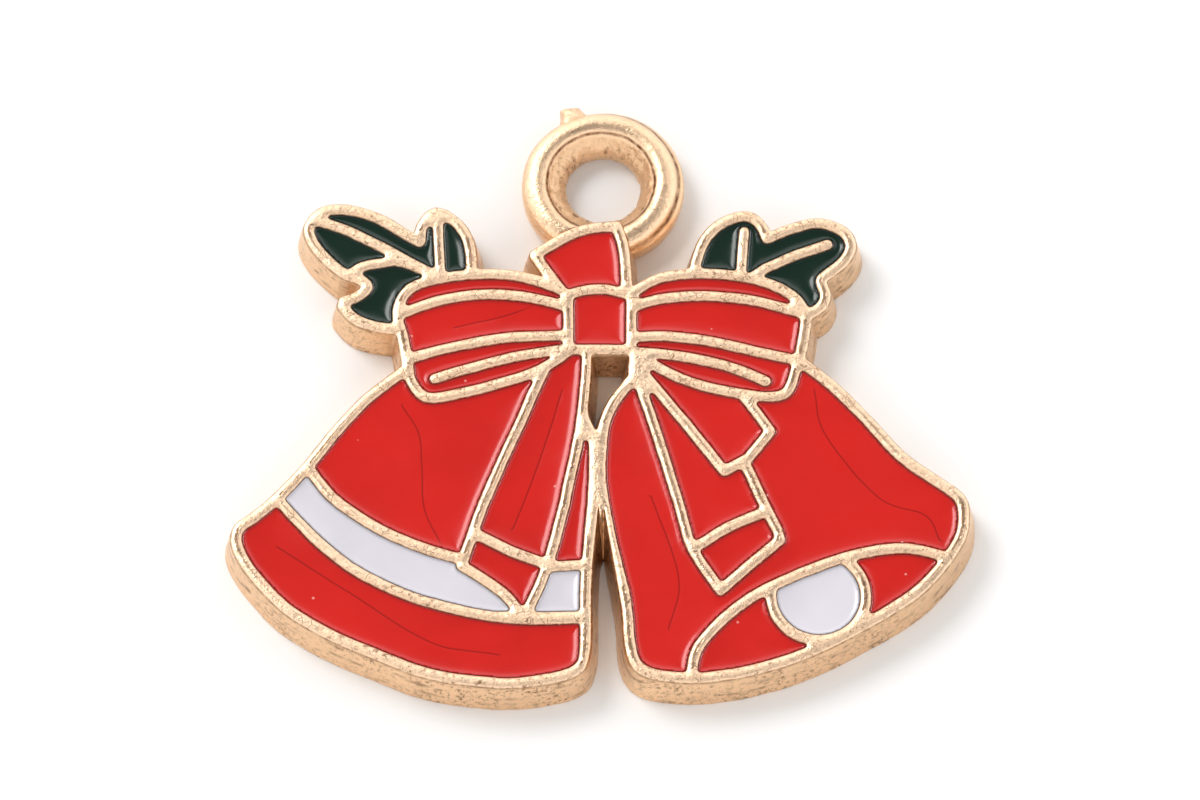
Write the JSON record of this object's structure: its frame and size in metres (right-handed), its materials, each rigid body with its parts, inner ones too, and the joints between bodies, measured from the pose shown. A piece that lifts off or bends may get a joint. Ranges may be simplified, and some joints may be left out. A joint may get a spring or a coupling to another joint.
{
  "type": "enamel charm",
  "caption": "Flat die-cast charm of overlapping bells under a bow with ribbon tails and holly leaves, its pockets filled with coloured enamel, with a cast-on hanging loop.",
  "frame": {"origin": "middle of the charm's outline, on its flat back", "axes": "+Z out of the enamelled face, +Y towards the hanging loop, +X to the right as the face is seen"},
  "size_m": [0.022, 0.0192, 0.0013],
  "materials": {
    "plated_metal": "polished pale gold plating on die-cast zinc",
    "red_enamel": "glossy soft enamel",
    "white_enamel": "glossy soft enamel",
    "green_enamel": "glossy soft enamel, very dark"
  },
  "bodies": {
    "root": {"casting": "plated_metal", "green_leaf_left_upper": "green_enamel", "green_leaf_left_side": "green_enamel", "green_leaf_left_lower": "green_enamel", "green_leaf_left_inner": "green_enamel", "green_leaf_right": "green_enamel", "red_bow_left_edge": "red_enamel", "red_bow_left_stripe": "red_enamel", "red_bow_left_fold": "red_enamel", "red_bow_right_edge": "red_enamel", "red_bow_right_stripe": "red_enamel", "red_bow_right_fold": "red_enamel", "red_knot": "red_enamel", "red_knot_flap": "red_enamel", "red_bell_left_body": "red_enamel", "red_bell_left_strip": "red_enamel", "red_bell_left_rim": "red_enamel", "white_bell_left_band": "white_enamel", "white_bell_left_band_end": "white_enamel", "red_tail_left_main": "red_enamel", "red_tail_left_end": "red_enamel", "red_bell_right_body": "red_enamel", "red_mouth_left": "red_enamel", "red_mouth_right": "red_enamel", "white_clapper": "white_enamel", "red_tail_long_main": "red_enamel", "red_tail_long_end": "red_enamel", "red_tail_short": "red_enamel"}
  },
  "joints": []
}
